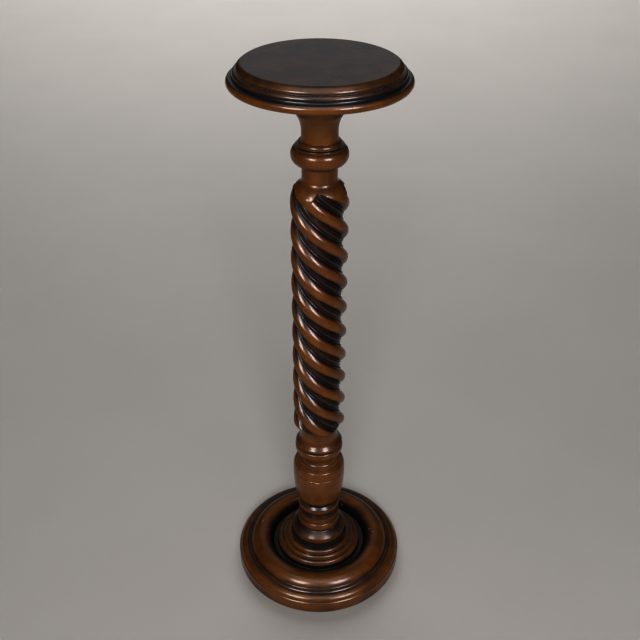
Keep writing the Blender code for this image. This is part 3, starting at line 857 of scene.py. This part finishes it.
def lacquered_wood(name, grain, marks):
    """Turned wood under old dark lacquer; grain is how much longer the fibres are along each axis."""
    wood = Finish(name)
    fibre_grain = [part * FIBRE_STRETCH for part in grain]
    figure = wood.noise(FIGURE_SIZE, grain, detail=4).clipped(*FIGURE_RANGE)
    fibre = wood.noise(FIBRE_SIZE, fibre_grain, detail=4, offset=3).clipped(*FIBRE_RANGE)
    cloud = wood.noise(CLOUD_SIZE, detail=4, offset=7).clipped(*CLOUD_RANGE)
    speckle = wood.noise(SPECKLE_SIZE, detail=5, roughness=SPECKLE_ROUGHNESS, offset=11)
    orange = LEAST_ORANGE + figure * FIGURE_ORANGE + fibre * FIBRE_ORANGE
    brown = wood.mix(orange, RED_BROWN, ORANGE_BROWN)
    brown = wood.mix(cloud * CLOUD_DEPTH, brown, DEEP_BROWN)
    uneven = (cloud - MIDDLE) * DARK_CLOUDS
    dark = wood.painted("dark") + uneven + (speckle - MIDDLE) * DARK_SPECKLES
    dark = dark.clipped(*DARK_RANGE)
    worn = (wood.painted("worn") * speckle).clipped(*WORN_RANGE)
    # Patina and painted shade: the darkest places, in quirks, coves, recesses and undersides, go near black.
    patina_and_shade = wood.mix(wood.painted("dark").clipped(*NEAR_BLACK_RANGE), VIOLET_BLACK, NEAR_BLACK)
    colour = wood.mix(dark, brown, patina_and_shade)
    colour = wood.mix(worn * WORN_PALENESS, colour, WORN_BROWN)
    marked = 0
    for shade, around, radius, height, *sizes in marks:
        half_sizes = [size * MM for size in sizes]
        mark = wood.mark(math.radians(around), radius * MM, height * MM, half_sizes, speckle)
        colour = wood.mix(mark, colour, shade)
        marked = mark + marked
    roughness = WOOD_ROUGHNESS + speckle * ROUGHER_SPECKLES + dark * ROUGHER_WHERE_DARK
    coat = COAT_WEIGHT - speckle * COAT_LOST_TO_SPECKLES - marked * COAT_LOST_TO_MARKS
    wood.feed(wood.shader.inputs["Base Color"], colour)
    wood.feed(wood.shader.inputs["Roughness"], roughness)
    wood.feed(wood.shader.inputs["Specular IOR Level"], SPECULAR_LEVEL)
    wood.feed(wood.shader.inputs["Coat Weight"], coat)
    wood.feed(wood.shader.inputs["Coat Roughness"], COAT_ROUGHNESS)
    ripple = wood.noise(RIPPLE_SIZE, detail=2, offset=5) * RIPPLE_HEIGHT
    ripple = ripple + fibre * FIBRE_HEIGHT + speckle * SPECKLE_HEIGHT
    bump = wood.node("ShaderNodeBump", {},
                     {"Height": ripple, "Distance": BUMP_DISTANCE, "Strength": BUMP_STRENGTH},
                     output="Normal")
    wood.feed(wood.shader.inputs["Normal"], bump)
    return wood.material


def finished(piece, node, material, outline):
    """Gives a turned piece its patina and painted shade, material, smooth shading and place on the stand."""
    if "dark" not in piece.data.attributes:
        dark, worn = patina_and_shade_on(piece.data, outline)
        store(piece.data, "dark", dark)
        store(piece.data, "worn", worn)
    piece.data.materials.append(material)
    bpy.ops.object.select_all(action="DESELECT")
    piece.select_set(True)
    bpy.context.view_layer.objects.active = piece
    bpy.ops.object.shade_smooth_by_angle(angle=SMOOTH_ANGLE)
    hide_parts(node)
    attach(piece, "root")


def make_top():
    """The round moulded top."""
    outline = top_outline()
    piece = turned("fine_top", outline, DISC_SIDES)
    wood = lacquered_wood("lacquered_top", DISC_GRAIN, TOP_MARKS)
    finished(piece, "top", wood, outline)


def make_column():
    """The turned column with its carved twist."""
    outline = column_outline()
    piece = turned("fine_column", outline, STARTS * POINTS_PER_START)
    dark, worn = patina_and_shade_on(piece.data, outline)
    dark = carve_twist(piece.data, dark)
    store(piece.data, "dark", dark)
    store(piece.data, "worn", worn)
    wood = lacquered_wood("lacquered_column", COLUMN_GRAIN, COLUMN_MARKS)
    finished(piece, "column", wood, outline)


def make_base():
    """The round moulded base."""
    outline = base_outline()
    piece = turned("fine_base", outline, DISC_SIDES)
    wood = lacquered_wood("lacquered_base", DISC_GRAIN, BASE_MARKS)
    finished(piece, "base", wood, outline)


def make_camera():
    """The camera, where the photograph was taken from."""
    level = math.cos(CAMERA_PITCH)
    forward = Vector((math.sin(CAMERA_YAW) * level, math.cos(CAMERA_YAW) * level, -math.sin(CAMERA_PITCH)))
    right = Vector((math.cos(CAMERA_YAW), -math.sin(CAMERA_YAW), 0))
    down = forward.cross(right)
    rolled_right = math.cos(CAMERA_ROLL) * right + math.sin(CAMERA_ROLL) * down
    rolled_down = -math.sin(CAMERA_ROLL) * right + math.cos(CAMERA_ROLL) * down
    data = bpy.data.cameras.new("camera")
    data.sensor_width = SENSOR_MM
    data.lens = FOCAL_PIXELS / IMAGE_PIXELS * SENSOR_MM
    camera = bpy.data.objects.new("camera", data)
    bpy.context.scene.collection.objects.link(camera)
    matrix = Matrix((rolled_right, -rolled_down, -forward)).transposed().to_4x4()
    matrix.translation = Vector(CAMERA_PLACE)
    camera.matrix_world = matrix
    bpy.context.scene.camera = camera


def add_light(name, place, size, power):
    """A square soft light that faces the middle of the stand."""
    data = bpy.data.lights.new(name, "AREA")
    data.size = size
    data.energy = power
    light = bpy.data.objects.new(name, data)
    bpy.context.scene.collection.objects.link(light)
    light.location = place
    aim = Vector((0, 0, LIGHT_TARGET_HEIGHT)) - Vector(place)
    light.rotation_euler = aim.to_track_quat("-Z", "Y").to_euler()
    light.visible_camera = False
    return light


def make_studio():
    """The floor, the lights and an even sky; the floor light lights nothing but the floor."""
    for side, colour in ((-1, LEFT_LIGHT_COLOUR), (1, RIGHT_LIGHT_COLOUR)):
        place = (side * LIGHT_ASIDE, -LIGHT_FORWARD, LIGHT_HEIGHT)
        gloss = add_light("gloss_light", place, LIGHT_SIZE, LIGHT_POWER)
        gloss.data.color = colour
        gloss.visible_diffuse = False
    overhead = add_light("overhead_light", OVERHEAD_LIGHT_PLACE, OVERHEAD_LIGHT_SIZE, OVERHEAD_LIGHT_POWER)
    overhead.visible_diffuse = False
    front = add_light("front_light", FRONT_LIGHT_PLACE, FRONT_LIGHT_SIZE, FRONT_LIGHT_POWER)
    front.visible_glossy = False
    add_light("back_light", BACK_LIGHT_PLACE, BACK_LIGHT_SIZE, BACK_LIGHT_POWER)
    world = bpy.data.worlds.new("soft_sky")
    world.use_nodes = True
    sky = world.node_tree.nodes["Background"]
    sky.inputs["Color"].default_value = (*WORLD_COLOUR, 1)
    sky.inputs["Strength"].default_value = WORLD_STRENGTH
    bpy.context.scene.world = world
    bpy.ops.object.select_all(action="DESELECT")
    bpy.ops.mesh.primitive_circle_add(vertices=FLOOR_SIDES, radius=FLOOR_RADIUS, fill_type="NGON")
    floor = bpy.context.object
    floor.name = "floor"
    lit = bpy.data.collections.new("lit_floor")
    lit.objects.link(floor)
    far = add_light("floor_light", FLOOR_LIGHT_PLACE, FLOOR_LIGHT_SIZE, FLOOR_LIGHT_POWER)
    far.rotation_euler = (0, 0, 0)
    far.light_linking.receiver_collection = lit
    paint = Finish("floor_paint")
    shade = paint.noise(FLOOR_CLOUD_SIZE, detail=2).clipped(*FLOOR_CLOUD_RANGE)
    lighter = [part * FLOOR_CLOUD_LIGHTER for part in FLOOR_COLOUR]
    paint.feed(paint.shader.inputs["Base Color"], paint.mix(shade, FLOOR_COLOUR, lighter))
    paint.feed(paint.shader.inputs["Roughness"], FLOOR_ROUGHNESS)
    floor.data.materials.append(paint.material)
    bpy.context.scene.view_settings.view_transform = "Standard"
    bpy.context.scene.view_settings.gamma = DISPLAY_GAMMA


make_camera()
make_top()
make_column()
make_base()
make_studio()
